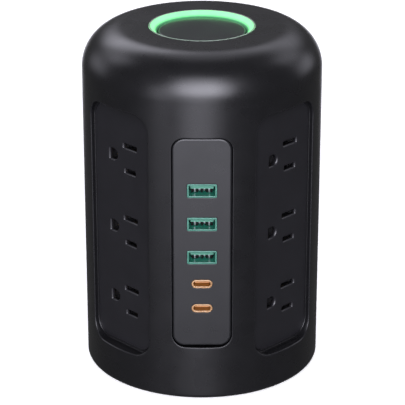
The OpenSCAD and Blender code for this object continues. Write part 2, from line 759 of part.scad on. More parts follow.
module switch_body() color([0.1, 0.1, 0.1]) difference() {
    translate([-switch_size[0] / 2, -switch_size[1] / 2, guide_floor_z - 2 - switch_size[2]]) cube(switch_size);
    translate([0, 0, guide_floor_z - 2 - 13]) cylinder(r = plunger_r + 0.3, h = 20, $fn = small_fn);
}

module switch_plunger() color([0.85, 0.85, 0.8])
    translate([0, 0, stem_end_z - plunger_l]) cylinder(r = plunger_r, h = plunger_l, $fn = small_fn);

// ---------- nodes ----------

function wanted(name) = node == "all" || node == name;

if (wanted("main_housing")) main_housing();
if (wanted("base_plate")) base_plate();
if (wanted("rubber_feet")) rubber_feet();
if (wanted("base_screws")) base_screws();

for (i = sides) {
    if (wanted(str("outlet_panel_", side_names[i])))
        on_side(side_turns[i]) translate([0, column_z, 0]) outlet_panel();
    if (wanted(str("contact_carrier_", side_names[i])))
        on_side(side_turns[i]) translate([0, column_z, 0]) contact_carrier();
    if (wanted(str("neutral_strip_", side_names[i]))) on_side(side_turns[i]) neutral_strip();
    if (wanted(str("hot_strip_", side_names[i]))) on_side(side_turns[i]) hot_strip();
    if (wanted(str("ground_strip_", side_names[i]))) on_side(side_turns[i]) ground_strip();
}
if (wanted("neutral_bus_ring")) bus_ring(neutral_ring_z, [hot_spine, earth_spine]);
if (wanted("hot_bus_ring")) bus_ring(hot_ring_z, [earth_spine]);
if (wanted("ground_bus_ring")) bus_ring(earth_ring_z, []);
if (wanted("short_screws")) short_screws();

if (wanted("charging_panel")) charging_panel();
if (wanted("charging_board")) charging_board();
if (wanted("charging_transformer")) charging_transformer();
if (wanted("charging_capacitors")) charging_capacitors();
for (i = [1 : len(usb_a_zs)]) {
    if (wanted(str("usb_a_shell_", i))) usb_a_shell(usb_a_zs[i - 1]);
    if (wanted(str("usb_a_tongue_", i))) usb_a_tongue(usb_a_zs[i - 1]);
}
if (wanted("usb_a_contacts")) usb_a_contacts();
for (i = [1 : len(usb_c_zs)]) {
    if (wanted(str("usb_c_shell_", i))) usb_c_shell(usb_c_zs[i - 1]);
    if (wanted(str("usb_c_tongue_", i))) usb_c_tongue(usb_c_zs[i - 1]);
}

if (wanted("service_plate")) service_plate();
if (wanted("cord_gland")) cord_gland();
if (wanted("breaker_body")) breaker_body();
if (wanted("breaker_nut")) breaker_nut();
if (wanted("breaker_button")) breaker_button();

if (wanted("surge_board")) surge_board();
if (wanted("surge_varistors")) surge_varistors();
if (wanted("surge_fuse")) surge_fuse();
if (wanted("internal_wires")) internal_wires();

if (wanted("light_ring")) light_ring();
if (wanted("led_board")) led_board();
if (wanted("ring_leds")) ring_leds();
if (wanted("button_guide")) button_guide();
if (wanted("power_button")) power_button();
if (wanted("button_spring")) button_spring();
if (wanted("switch_body")) switch_body();
if (wanted("switch_plunger")) switch_plunger();
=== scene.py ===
"""Tower power strip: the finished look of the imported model.

Lengths are in millimetres until a mesh is made. A side is named by its turn from the
front in degrees, positive to the right. On a side, x runs to the right as seen from
outside, y runs up from the floor, and d is the distance out from the tower's axis.
"""
import json
import math
import bmesh
import bpy
from mathutils.geometry import tessellate_polygon
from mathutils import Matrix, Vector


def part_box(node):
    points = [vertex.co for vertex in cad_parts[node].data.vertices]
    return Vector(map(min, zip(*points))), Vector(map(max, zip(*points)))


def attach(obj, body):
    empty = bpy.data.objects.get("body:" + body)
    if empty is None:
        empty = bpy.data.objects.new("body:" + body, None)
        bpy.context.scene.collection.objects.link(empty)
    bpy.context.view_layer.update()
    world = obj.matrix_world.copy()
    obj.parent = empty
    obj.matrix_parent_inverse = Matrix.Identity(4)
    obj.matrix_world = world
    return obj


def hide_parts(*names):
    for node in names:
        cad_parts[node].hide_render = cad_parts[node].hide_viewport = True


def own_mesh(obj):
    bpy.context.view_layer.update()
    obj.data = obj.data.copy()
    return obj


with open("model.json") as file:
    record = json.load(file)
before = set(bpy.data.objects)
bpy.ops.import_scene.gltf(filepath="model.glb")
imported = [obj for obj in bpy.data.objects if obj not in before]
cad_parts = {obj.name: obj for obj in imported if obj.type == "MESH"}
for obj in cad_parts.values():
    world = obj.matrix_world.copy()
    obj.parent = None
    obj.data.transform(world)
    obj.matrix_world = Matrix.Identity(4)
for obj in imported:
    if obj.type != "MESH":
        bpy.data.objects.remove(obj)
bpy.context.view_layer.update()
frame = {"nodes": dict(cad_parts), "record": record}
MM = 0.001


def box(node):
    """A CAD node's lowest and highest corners, in millimetres."""
    low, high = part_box(node)
    return [c / MM for c in low], [c / MM for c in high]


def middle(node):
    """The middle of a CAD node's box, in millimetres."""
    low, high = box(node)
    return [(a + b) / 2 for a, b in zip(low, high)]


# ---------- sizes ----------

housing_low, housing_high = box("main_housing")
BODY_R = housing_high[0]
BASE_Z = housing_low[2]
TOP_Z = housing_high[2]
SHOULDER_R = 20
WALL = 2.6
INNER_R = BODY_R - WALL
CEILING_Z = TOP_Z - WALL
BASE_EDGE_R = 2

COLUMN_Z = middle("outlet_panel_front_right")[2]
COLUMN_TURN = 46
SIDES = {
    "front_right": COLUMN_TURN, "back_right": 180 - COLUMN_TURN,
    "back_left": 180 + COLUMN_TURN, "front_left": 360 - COLUMN_TURN,
}
FRONT = 0
BACK = 180

# A rounded rectangle is (width, height, corner radius).
RECESS = (40.2, 126.3, 9)
LEDGE_W = 1.2
LEDGE_D = 52.9
FRAME_BACK = 51.3
FRAME_WALL = 1.8
OUTLET_FACE = 53.4
OUTLET_PANEL = (37.4, 123.5, 7.6)
OUTLET_PITCH = 37.4
OUTLET_DROP = 0.5
OUTLET_ZS = [COLUMN_Z - OUTLET_DROP + i * OUTLET_PITCH for i in (-1, 0, 1)]
BLADE_X = 5.6
BLADE_GAP = 12.7
EARTH_GAP = 11.9
EARTH_X = BLADE_X - EARTH_GAP
SLOT_H = 2.3
SLOT_R = 0.35
NEUTRAL_W = 9.2
HOT_W = 7.4

CHARGE_FACE = -box("charging_panel")[0][1]
CHARGE_PANEL = (28.4, 107.8, 6)
CHARGE_GAP = 0.4
port_low, port_high = box("usb_a_shell_1")
PORT_FACE = -port_low[1]
PORT_BACK = -port_high[1]
PORT_FLOOR = PORT_BACK + 1.2

SERVICE_FACE = 54.6
SERVICE_PLATE = (30, 50, 5)
SERVICE_GAP = 0.2
SERVICE_Z = middle("service_plate")[2]

RING_R = 26
button_low, button_high = box("power_button")
BUTTON_R = button_high[0]
BUTTON_FACE = button_high[2]


# ---------- camera ----------

CAMERA_DISTANCE = 998
CAMERA_ELEVATION = 21.85
CAMERA_TARGET_Z = (BASE_Z + TOP_Z) / 2
CAMERA_LENS = 176
CAMERA_SHIFT = (0.0012, -0.0297)

angle = math.radians(CAMERA_ELEVATION)
camera_data = bpy.data.cameras.new("camera")
camera_data.lens = CAMERA_LENS
camera_data.shift_x, camera_data.shift_y = CAMERA_SHIFT
camera_data.clip_start = 0.05
camera = bpy.data.objects.new("camera", camera_data)
camera.location = (
    0,
    -CAMERA_DISTANCE * math.cos(angle) * MM,
    (CAMERA_TARGET_Z + CAMERA_DISTANCE * math.sin(angle)) * MM,
)
camera.rotation_euler = (math.pi / 2 - angle, 0, 0)
bpy.context.collection.objects.link(camera)
bpy.context.scene.camera = camera


# ---------- curves ----------

def unit(x, y):
    length = math.hypot(x, y)
    return x / length, y / length


def fillet(path):
    """A path of (x, y, radius, steps) corners as points, with each corner rounded. A corner
    with no radius stays sharp, and one with no steps has 5."""
    out = []
    for i, corner in enumerate(path):
        x, y, radius, steps = (*corner, *(0, 5)[len(corner) - 2:])
        if not radius or i in (0, len(path) - 1):
            out.append((x, y))
            continue
        ax, ay = unit(path[i - 1][0] - x, path[i - 1][1] - y)
        bx, by = unit(path[i + 1][0] - x, path[i + 1][1] - y)
        half = math.acos(max(-1, min(1, ax * bx + ay * by))) / 2
        reach = radius / math.tan(half)
        mx, my = unit(ax + bx, ay + by)
        cx, cy = x + mx * radius / math.sin(half), y + my * radius / math.sin(half)
        start = math.atan2(y + ay * reach - cy, x + ax * reach - cx)
        end = math.atan2(y + by * reach - cy, x + bx * reach - cx)
        sweep = (end - start + math.pi) % (2 * math.pi) - math.pi
        for k in range(steps + 1):
            a = start + sweep * k / steps
            out.append((cx + radius * math.cos(a), cy + radius * math.sin(a)))
    return out


def outline(arcs):
    """A closed outline, anticlockwise, from (centre, start, end, radius, steps) arcs, with
    start and end in degrees. Each entry is (x, y, nx, ny), with the outward direction, so
    that it can be offset."""
    out = []
    for centre, start, end, radius, steps in arcs:
        for k in range(steps + 1):
            a = math.radians(start + (end - start) * k / steps)
            n = (math.cos(a), math.sin(a))
            out.append((centre[0] + radius * n[0], centre[1] + radius * n[1], *n))
    return out


def rounded_rect(w, h, r, steps, at=(0, 0)):
    x, y = w / 2 - r, h / 2 - r
    corners = [((-x, -y), 180), ((x, -y), 270), ((x, y), 0), ((-x, y), 90)]
    return outline([((at[0] + c[0], at[1] + c[1]), a, a + 90, r, steps) for c, a in corners])


def circle(at=(0, 0)):
    """A point that grows into a circle, so that an offset is a radius."""
    return [(*at, math.cos(a), math.sin(a)) for a in even_angles(48)]


def even_angles(count):
    return [2 * math.pi * k / count for k in range(count)]


def earth_hole(at):
    """Round towards the blades and flat on the side away from them."""
    r, flat, corner = 2.8, 2.6, 0.4
    x, y = at
    return outline([
        ((x, y), -90, 90, r, 20),
        ((x - flat + corner, y + r - corner), 90, 180, corner, 4),
        ((x - flat + corner, y - r + corner), 180, 270, corner, 4),
    ])


def grown(shape, offset):
    """An outline's points, moved outwards."""
    return [(x + offset * nx, y + offset * ny) for x, y, nx, ny in shape]


# ---------- meshes ----------

def on_side(turn):
    """Maps (x, y, d) on a side to the tower's own coordinates."""
    c, s = math.cos(math.radians(turn)), math.sin(math.radians(turn))
    return lambda x, y, d: (x * c + d * s, x * s - d * c, y)


# Points closer than this become one.
WELD = 0.002
# The mark for worn edges and a painted highlight starts where an outside edge turns by the first angle, and
# is full at the second.
WEAR_AND_HIGHLIGHT_ANGLES = (0.08, 0.22)


def mark_edges(work):
    """Marks how far each point stands on an outside edge, from 0 to 1, for the worn edge and the painted
    highlight there.
    """
    layer = work.verts.layers.float.new("wear_and_highlight")
    work.normal_update()
    start, full = WEAR_AND_HIGHLIGHT_ANGLES
    for vert in work.verts:
        sharpest = max(edge.calc_face_angle_signed(0) for edge in vert.link_edges)
        vert[layer] = min(1, max(0, (sharpest - start) / (full - start)))


class Skin:
    """Gathers loops of points and the faces between them, and makes one object of them."""

    def __init__(self, place=lambda x, y, z: (x, y, z)):
        self.place = place
        self.points = []
        self.faces = []
        self.smooth = []

    def loop(self, points):
        first = len(self.points)
        self.points += [self.place(*p) for p in points]
        return list(range(first, len(self.points)))

    def face(self, corners, smooth=True):
        self.faces.append(corners)
        self.smooth.append(smooth)

    def bridge(self, a, b, closed=True, smooth=True):
        """Quads from loop a, the outer or lower one, to loop b."""
        last = len(a) if closed else len(a) - 1
        for i in range(last):
            j = (i + 1) % len(a)
            self.face((a[i], a[j], b[j], b[i]), smooth)

    def bridge_all(self, loops, closed=True, smooth=True):
        for a, b in zip(loops, loops[1:]):
            self.bridge(a, b, closed, smooth)

    def loft(self, shape, profile):
        """Sweeps an outline through a profile of (offset, distance) points."""
        loops = [self.loop([(x, y, d) for x, y in grown(shape, o)]) for o, d in profile]
        self.bridge_all(loops)
        return loops

    def cap(self, outer, holes=(), flip=False):
        """A flat face inside one loop and outside the others."""
        rings = [outer, *holes]
        index = [i for ring in rings for i in ring]
        facing = self.area_vector(outer)
        for corners in tessellate_polygon([[self.points[i] for i in ring] for ring in rings]):
            tri = [index[k] for k in corners]
            same_way = sum(a * b for a, b in zip(self.area_vector(tri), facing)) >= 0
            if same_way == flip:
                tri.reverse()
            self.face(tri, smooth=False)

    def area_vector(self, ring):
        """Points the way that the ring faces, and is twice its area long."""
        total = [0, 0, 0]
        for i, k in enumerate(ring):
            p, q = self.points[k], self.points[ring[(i + 1) % len(ring)]]
            total[0] += p[1] * q[2] - p[2] * q[1]
            total[1] += p[2] * q[0] - p[0] * q[2]
            total[2] += p[0] * q[1] - p[1] * q[0]
        return total

    def make(self, name, look, body, *stands_for, slot):
        """The object, which rides on a body and stands for the named CAD nodes."""
        mesh = bpy.data.meshes.new(name)
        mesh.from_pydata([[c * MM for c in p] for p in self.points], [], self.faces)
        mesh.polygons.foreach_set("use_smooth", self.smooth)
        work = bmesh.new()
        work.from_mesh(mesh)
        bmesh.ops.remove_doubles(work, verts=work.verts, dist=WELD * MM)
        mark_edges(work)
        work.to_mesh(mesh)
        work.free()
        mesh.validate()
        piece = bpy.data.objects.new(name, mesh)
        bpy.context.collection.objects.link(piece)
        mesh.materials.append(look)
        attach(piece, body)
        if stands_for:
            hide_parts(*stands_for)
        return piece


def ring_of(r, z, angles):
    """Points round the tower's axis. A radius of 0 becomes a speck, which welds shut."""
    r = max(r, WELD / 2)
    return [(r * math.sin(a), -r * math.cos(a), z) for a in angles]


def revolve(skin, profile):
    """Turns a profile of (radius, height) points about the tower's axis."""
    angles = even_angles(192)
    skin.bridge_all([skin.loop(ring_of(r, z, angles)) for r, z in profile])


# ---------- materials ----------

def add_node(tree, kind, inputs, settings):
    """A shader node. Each input is a number, a colour or the socket that feeds it."""
    made = tree.nodes.new("ShaderNode" + kind)
    for key, value in settings.items():
        setattr(made, key, value)
    for key, value in dict(inputs).items():
        if isinstance(value, bpy.types.NodeSocket):
            tree.links.new(value, made.inputs[key])
        else:
            made.inputs[key].default_value = value
    return made


class Look:
    """A procedural material, built node by node."""

    def __init__(self, name):
        self.material = bpy.data.materials.new(name)
        self.material.use_nodes = True
        self.tree = self.material.node_tree
        self.shader = self.tree.nodes["Principled BSDF"]
        self.where = self.tree.nodes.new("ShaderNodeTexCoord").outputs["Object"]

    def node(self, kind, inputs=(), **settings):
        return add_node(self.tree, kind, inputs, settings)

    def noise(self, size, detail=2, rough=0.5, stretch=None):
        """Noise whose features are about size millimetres across."""
        where = self.where
        if stretch:
            where = self.node("Mapping", {"Vector": where, "Scale": stretch}).outputs[0]
        return self.node("TexNoise", {
            "Vector": where, "Scale": 1 / (size * MM), "Detail": detail, "Roughness": rough,
        }).outputs["Fac"]

    def ramp(self, value, low, high, from_low=0.3, from_high=0.7, curve="LINEAR"):
        return self.node("MapRange", {
            "Value": value, "From Min": from_low, "From Max": from_high, "To Min": low, "To Max": high,
        }, interpolation_type=curve).outputs[0]

    def times(self, a, b):
        return self.node("Math", {0: a, 1: b}, operation="MULTIPLY").outputs[0]

    def mix(self, factor, a, b):
        """From colour a to colour b. Each is a socket or red, green and blue."""
        a, b = (c if isinstance(c, bpy.types.NodeSocket) else (*c, 1) for c in (a, b))
        return self.node("Mix", {0: factor, 6: a, 7: b}, data_type="RGBA").outputs[2]

    def bump(self, height, depth, normal=None):
        """Relief of depth millimetres."""
        inputs = {"Height": height, "Strength": 1.0, "Distance": depth * MM}
        if normal:
            inputs["Normal"] = normal
        return self.node("Bump", inputs).outputs[0]

    def wear_and_highlight(self):
        """1 along outside edges and 0 elsewhere, less in patches along them: the mask for worn edges and a
        painted highlight.
        """
        marked = self.node("Attribute", attribute_name="wear_and_highlight").outputs["Fac"]
        return self.times(marked, self.ramp(self.noise(2.5, detail=3), 0.55, 1.0))

    def link(self, socket, name):
        self.tree.links.new(socket, self.shader.inputs[name])

    def set(self, **values):
        for key, value in values.items():
            key = key.replace("_", " ")
            self.shader.inputs[key].default_value = value


def shade(colour, factor):
    return tuple(c * factor for c in colour)


def moulded(name, colour, rough, grain=0.3, depth=0.004, edge=0.25, worn_and_lit_edge=None, specular=0.5):
    """Moulded plastic: spark-eroded grain, faint flow mottling, and outside edges painted paler, as worn
    edges with a painted highlight.
    """
    look = Look(name)
    mottle = look.noise(9, detail=3)
    fleck = look.noise(grain * 2.2, detail=1)
    body = look.mix(look.ramp(mottle, 0, 1), shade(colour, 0.88), shade(colour, 1.12))
    body = look.mix(look.ramp(fleck, 0, 0.35), body, shade(colour, 1.5))
    # Outside edges go paler: worn edges and a painted highlight in one colour.
    body = look.mix(look.times(look.wear_and_highlight(), edge), body, worn_and_lit_edge or shade(colour, 2.6))
    look.link(body, "Base Color")
    look.link(look.ramp(look.noise(14, detail=4), rough - 0.035, rough + 0.035), "Roughness")
    coarse = look.bump(look.noise(grain * 3.1, detail=2), depth * 1.2)
    look.link(look.bump(look.noise(grain, detail=3, rough=0.6), depth, coarse), "Normal")
    look.set(Specular_IOR_Level=specular)
    return look.material


def rubber(name, colour):
    """Rubber or soft vinyl: matt, uneven and faintly rough."""
    look = Look(name)
    bloom = look.ramp(look.noise(3, detail=4), 0, 1)
    look.link(look.mix(bloom, shade(colour, 0.8), shade(colour, 1.5)), "Base Color")
    look.link(look.ramp(look.noise(1.1, detail=3), 0.62, 0.8), "Roughness")
    look.link(look.bump(look.noise(0.5, detail=4, rough=0.7), 0.03), "Normal")
    look.set(Specular_IOR_Level=0.35)
    return look.material


def metal(name, colour, rough):
    """Rolled or drawn metal: fine upright lines, and slight tarnish."""
    look = Look(name)
    stain = look.ramp(look.noise(4, detail=4, rough=0.65), 0, 1, 0.45, 0.75)
    look.link(look.mix(stain, colour, shade(colour, 0.8)), "Base Color")
    lines = look.noise(0.12, detail=2, stretch=(1, 1, 0.06))
    look.link(look.ramp(lines, rough - 0.07, rough + 0.09), "Roughness")
    look.link(look.bump(lines, 0.002), "Normal")
    look.set(Metallic=1.0)
    return look.material


def circuit_board(name):
    """Green solder mask over faint copper tracks."""
    look = Look(name)
    tracks = look.node("TexBrick", {
        "Vector": look.where, "Scale": 260, "Mortar Size": 0.06, "Mortar Smooth": 0.2,
        "Color1": (0.008, 0.09, 0.035, 1), "Color2": (0.01, 0.1, 0.04, 1), "Mortar": (0.03, 0.22, 0.09, 1),
    })
    look.link(tracks.outputs["Color"], "Base Color")
    look.link(look.ramp(look.noise(2, detail=3), 0.3, 0.42), "Roughness")
    look.link(look.bump(tracks.outputs["Fac"], 0.03), "Normal")
    return look.material


RING_GLOW = 1.5
RING_COLOUR = (0.25, 1.0, 0.34)


def ring_diffuser(name):
    """Milky moulding lit from below: bright on its slope, dim at its lip, and dimmer by the button, where
    the fade is painted shade.
    """
    look = Look(name)
    height = look.node("SeparateXYZ", {"Vector": look.where}).outputs["Z"]
    lip = look.ramp(height, 0.05, 1.0, (TOP_Z - 0.08) * MM, (TOP_Z - 0.35) * MM, "SMOOTHSTEP")
    # The glow fades by the button: painted shade at the foot of the slope.
    foot = look.ramp(height, 0.02, 1.0, (BUTTON_FACE - 0.4) * MM, (BUTTON_FACE + 1.0) * MM, "SMOOTHSTEP")
    cloud = look.ramp(look.noise(6, detail=2), 0.93, 1.07)
    look.link(look.times(look.times(look.times(lip, foot), cloud), RING_GLOW), "Emission Strength")
    milk = look.mix(look.ramp(look.noise(2.5), 0, 1), (0.04, 0.20, 0.09), (0.05, 0.24, 0.11))
    look.link(look.mix(lip, (0.33, 0.36, 0.33), milk), "Base Color")
    look.set(Emission_Color=(*RING_COLOUR, 1), Roughness=0.5, Specular_IOR_Level=0.25)
    look.link(look.bump(look.noise(0.4, detail=2), 0.004), "Normal")
    return look.material


looks = {
    "housing_plastic": moulded("housing_plastic", (0.0062, 0.0062, 0.0068), 0.28, depth=0.0015,
                               worn_and_lit_edge=(0.03, 0.03, 0.033)),
    "panel_plastic": moulded("panel_plastic", (0.0106, 0.0104, 0.0120), 0.34),
    "button_plastic": moulded("button_plastic", (0.022, 0.024, 0.025), 0.19, grain=0.2, depth=0.0006),
    "charging_plastic": moulded("charging_plastic", (0.0080, 0.0082, 0.0090), 0.30, depth=0.002),
    "black_rubber": rubber("black_rubber", (0.012, 0.012, 0.012)),
    "carrier_plastic": moulded("carrier_plastic", (0.012, 0.012, 0.013), 0.6, edge=0.05),
    "contact_brass": metal("contact_brass", (0.5, 0.36, 0.15), 0.34),
    "zinc_steel": metal("zinc_steel", (0.56, 0.56, 0.58), 0.42),
    # The port pieces have strong edge settings, so their rims are mostly a painted highlight.
    "green_plastic": moulded("green_plastic", (0.012, 0.112, 0.072), 0.3, grain=0.2, depth=0.002, edge=0.8,
                             worn_and_lit_edge=(0.16, 0.36, 0.29)),
    "green_tongue": moulded("green_tongue", (0.055, 0.215, 0.145), 0.34, grain=0.2, depth=0.002, edge=0.4,
                            worn_and_lit_edge=(0.2, 0.45, 0.35)),
    "orange_plastic": moulded("orange_plastic", (0.23, 0.088, 0.019), 0.28, grain=0.2, depth=0.002, edge=0.8,
                              worn_and_lit_edge=(0.6, 0.4, 0.22)),
    # The tongue's orange is lighter than the collar's: painted light on a tongue that sits in the port's
    # shade.
    "orange_tongue": moulded("orange_tongue", (0.42, 0.18, 0.06), 0.3, grain=0.2, depth=0.002, edge=0.3,
                             worn_and_lit_edge=(0.6, 0.35, 0.16)),
    "circuit_board": circuit_board("circuit_board"),
    "yellow_tape": moulded("yellow_tape", (0.55, 0.4, 0.05), 0.3, grain=0.6, depth=0.02),
    "capacitor_sleeve": moulded("capacitor_sleeve", (0.02, 0.025, 0.07), 0.25, depth=0.002),
    "varistor_blue": moulded("varistor_blue", (0.02, 0.06, 0.3), 0.4, grain=0.8, depth=0.03),
    "fuse_white": moulded("fuse_white", (0.6, 0.6, 0.56), 0.4),
    "wire_jacket": rubber("wire_jacket", (0.03, 0.03, 0.03)),
    "ring_diffuser": ring_diffuser("ring_diffuser"),
    "led_white": moulded("led_white", (0.7, 0.7, 0.62), 0.3, depth=0.001),
    "switch_black": moulded("switch_black", (0.006, 0.006, 0.006), 0.6, edge=0, specular=0.1),
    "reset_red": moulded("reset_red", (0.3, 0.015, 0.012), 0.32, grain=0.2, depth=0.002, edge=0.1),
}

for part in frame["record"]["subparts"]:
    materials = frame["nodes"][part["node"]].data.materials
    if not materials:
        materials.append(None)
    for i in range(len(materials)):
        materials[i] = looks[part["material_slot"]]


# ---------- housing ----------

# The upright wall is eight sectors. Each is a grid of the same rows and columns round its
# edge, and reaches from its middle turn by its spread, in degrees, both ways.
SECTOR_LOW = BASE_Z + 5
SECTOR_HIGH = TOP_Z - SHOULDER_R - 3
ROWS = 40
COLUMNS = 24
CORNER_STEPS = 6
RINGS = 9
LIP_STEPS = 6
PLAIN_TURNS = (90, 270)
COLUMN_SPREAD = 24
WIDE_SPREAD = COLUMN_TURN - COLUMN_SPREAD
PLAIN_SPREAD = 90 - COLUMN_TURN - COLUMN_SPREAD


def window_shape(w, h, r):
    """A window's outline from the middle of its lower left corner, with as many points on
    each side as the border of its sector has."""
    x, y = w / 2 - r, h / 2 - r
    sides = [
        ((-x, -y), (x, -y), 270, COLUMNS), ((x, -y), (x, y), 0, ROWS),
        ((x, y), (-x, y), 90, COLUMNS), ((-x, y), (-x, -y), 180, ROWS),
    ]
    out = []
    for a, b, facing, count in sides:
        for k in range(count):
            into_corner = min(0, k - CORNER_STEPS) + max(0, k - (count - CORNER_STEPS))
            t = min(1, max(0, (k - CORNER_STEPS) / (count - 2 * CORNER_STEPS)))
            outwards = math.radians(facing + 45 * into_corner / CORNER_STEPS)
            nx, ny = math.cos(outwards), math.sin(outwards)
            out.append((a[0] + (b[0] - a[0]) * t + r * nx, a[1] + (b[1] - a[1]) * t + r * ny, nx, ny))
    return out


def sector_border(spread):
    """The sector's edge as (degrees from its middle, height), matched to window_shape."""
    across = [2 * spread * k / COLUMNS for k in range(COLUMNS)]
    up = [(SECTOR_HIGH - SECTOR_LOW) * k / ROWS for k in range(ROWS)]
    return (
        [(-spread + a, SECTOR_LOW) for a in across] + [(spread, SECTOR_LOW + z) for z in up]
        + [(spread - a, SECTOR_HIGH) for a in across] + [(-spread, SECTOR_HIGH - z) for z in up]
    )


def window_sector(skin, turn, spread, window, centre_z, lip, inside, inner_offset):
    """A sector of the wall with a window in it. lip is the radius of the window's outer
    edge. inside is its wall, from under the lip inwards, as (offset, distance) points."""
    side = on_side(turn)
    shape = window_shape(*window)
    border = sector_border(spread)

    def on_skin(r, offset, depth):
        return [side(x, centre_z + y, math.sqrt(r * r - x * x) - depth) for x, y in grown(shape, offset)]

    def towards_border(r, offset, t):
        out = []
        for (x, y), (degrees, z) in zip(grown(shape, offset), border):
            a = math.asin(x / r) * (1 - t) + math.radians(degrees) * t
            out.append(side(r * math.sin(a), (centre_z + y) * (1 - t) + z * t, r * math.cos(a)))
        return out

    steps = [(k / RINGS) ** 1.6 for k in range(RINGS, 0, -1)]
    loops = [towards_border(BODY_R, lip, t) for t in steps]
    for k in range(LIP_STEPS + 1):
        a = math.pi / 2 * k / LIP_STEPS
        loops.append(on_skin(BODY_R, lip * (1 - math.sin(a)), lip * (1 - math.cos(a))))
    loops.append(on_skin(BODY_R, 0, lip + 0.12))
    for offset, d in inside:
        loops.append([side(x, centre_z + y, d) for x, y in grown(shape, offset)])
    loops.append(on_skin(INNER_R, inner_offset, 0))
    loops += [towards_border(INNER_R, inner_offset, t) for t in reversed(steps)]
    skin.bridge_all([skin.loop(points) for points in loops])


def plain_sector(skin, turn, spread):
    """A sector of the wall with no window in it."""
    side = on_side(turn)
    angles = [math.radians(-spread + 2 * spread * k / COLUMNS) for k in range(COLUMNS + 1)]
    heights = [SECTOR_LOW + (SECTOR_HIGH - SECTOR_LOW) * k / ROWS for k in range(ROWS + 1)]
    for r, order in ((BODY_R, heights), (INNER_R, heights[::-1])):
        rows = [skin.loop([side(r * math.sin(a), z, r * math.cos(a)) for a in angles]) for z in order]
        skin.bridge_all(rows, closed=False)


def opening_for(panel, gap):
    """The rounded rectangle that leaves a gap all round a panel."""
    w, h, r = panel
    return w + 2 * gap, h + 2 * gap, r + gap


def housing():
    """The moulded shell: eight sectors of wall between a shouldered top and a bottom edge."""
    skin = Skin()
    recess_wall = fillet([
        (0, LEDGE_D + 1.0), (0, LEDGE_D, 0.3), (-LEDGE_W, LEDGE_D, 0.25), (-LEDGE_W, FRAME_BACK, 0.1),
        (FRAME_WALL, FRAME_BACK),
    ])
    for turn in SIDES.values():
        window_sector(skin, turn, COLUMN_SPREAD, RECESS, COLUMN_Z, 0.6, recess_wall, FRAME_WALL)
    charging = opening_for(CHARGE_PANEL, CHARGE_GAP)
    window_sector(skin, FRONT, WIDE_SPREAD, charging, COLUMN_Z, 0.3, [], 0)
    service = opening_for(SERVICE_PLATE, SERVICE_GAP)
    window_sector(skin, BACK, WIDE_SPREAD, service, SERVICE_Z, 0.3, [], 0)
    for turn in PLAIN_TURNS:
        plain_sector(skin, turn, PLAIN_SPREAD)

    angles = []
    sectors = [(t, COLUMN_SPREAD) for t in SIDES.values()] + [(t, WIDE_SPREAD) for t in (FRONT, BACK)]
    sectors += [(t, PLAIN_SPREAD) for t in PLAIN_TURNS]
    for turn, spread in sorted(sectors):
        angles += [math.radians(turn - spread + 2 * spread * k / COLUMNS) for k in range(COLUMNS)]
    seat_r = RING_R + 0.1
    top = fillet([
        (BODY_R, SECTOR_HIGH), (BODY_R, SECTOR_HIGH + 2.5), (BODY_R, TOP_Z, SHOULDER_R, 36),
        (BODY_R - SHOULDER_R - 0.6, TOP_Z), (32, TOP_Z), (RING_R + 1, TOP_Z), (seat_r, TOP_Z, 0.3),
        (seat_r, CEILING_Z), (INNER_R, CEILING_Z, SHOULDER_R - WALL, 12), (INNER_R, SECTOR_HIGH),
    ])
    bottom = fillet([
        (INNER_R, SECTOR_LOW), (INNER_R, BASE_Z, 0.2), (BODY_R, BASE_Z, BASE_EDGE_R, 8),
        (BODY_R, BASE_Z + BASE_EDGE_R + 0.5), (BODY_R, SECTOR_LOW),
    ])
    for profile in (top, bottom):
        skin.bridge_all([skin.loop(ring_of(r, z, angles)) for r, z in profile])
    skin.make("housing", looks["housing_plastic"], "tower", "main_housing", slot="housing_plastic")


housing()


# ---------- panels ----------

def plate(skin, shape, profile, holes, hole_profile):
    """A panel with a face at the profile's last point, and holes through it."""
    rim = skin.loft(shape, profile)
    walls = [skin.loft(hole, hole_profile) for hole in holes]
    skin.cap(rim[-1], [wall[0] for wall in walls])
    skin.cap(rim[0], [wall[-1] for wall in walls], flip=True)


def raised(turn, z):
    """Maps (x, y, d) on a side, with y up from height z, to the tower's own coordinates."""
    side = on_side(turn)
    return lambda x, y, d: side(x, z + y, d)


def outlet_panel(name, turn):
    """A panel with a flange round its back and chamfered slots."""
    skin = Skin(raised(turn, COLUMN_Z))
    face = OUTLET_FACE
    back = face - 2.2
    flange_back, flange_front = 49.1, 51.1
    profile = fillet([
        (-2.8, back), (-2.8, flange_back, 0.2), (1.2, flange_back, 0.2), (1.2, flange_front, 0.2),
        (0, flange_front), (0, face, 0.35, 6), (-0.6, face), (-0.9, face), (-1.2, face),
    ])
    holes = []
    for z in OUTLET_ZS:
        y = z - COLUMN_Z
        for width, rise in ((NEUTRAL_W, BLADE_GAP / 2), (HOT_W, -BLADE_GAP / 2)):
            holes.append(rounded_rect(width, SLOT_H, SLOT_R, 4, at=(BLADE_X, y + rise)))
        holes.append(earth_hole((EARTH_X, y)))
    rim = fillet([
        (0.95, face), (0.8, face), (0.65, face), (0.5, face, 0.12), (0, face - 0.5, 0.12),
        (0, face - 0.8), (0, back),
    ])
    plate(skin, rounded_rect(*OUTLET_PANEL, steps=10), profile, holes, rim)
    skin.make(name + "_shell", looks["panel_plastic"], "tower", name, slot="panel_plastic")


for side_name, side_turn in SIDES.items():
    outlet_panel("outlet_panel_" + side_name, side_turn)


# ---------- charging panel ----------

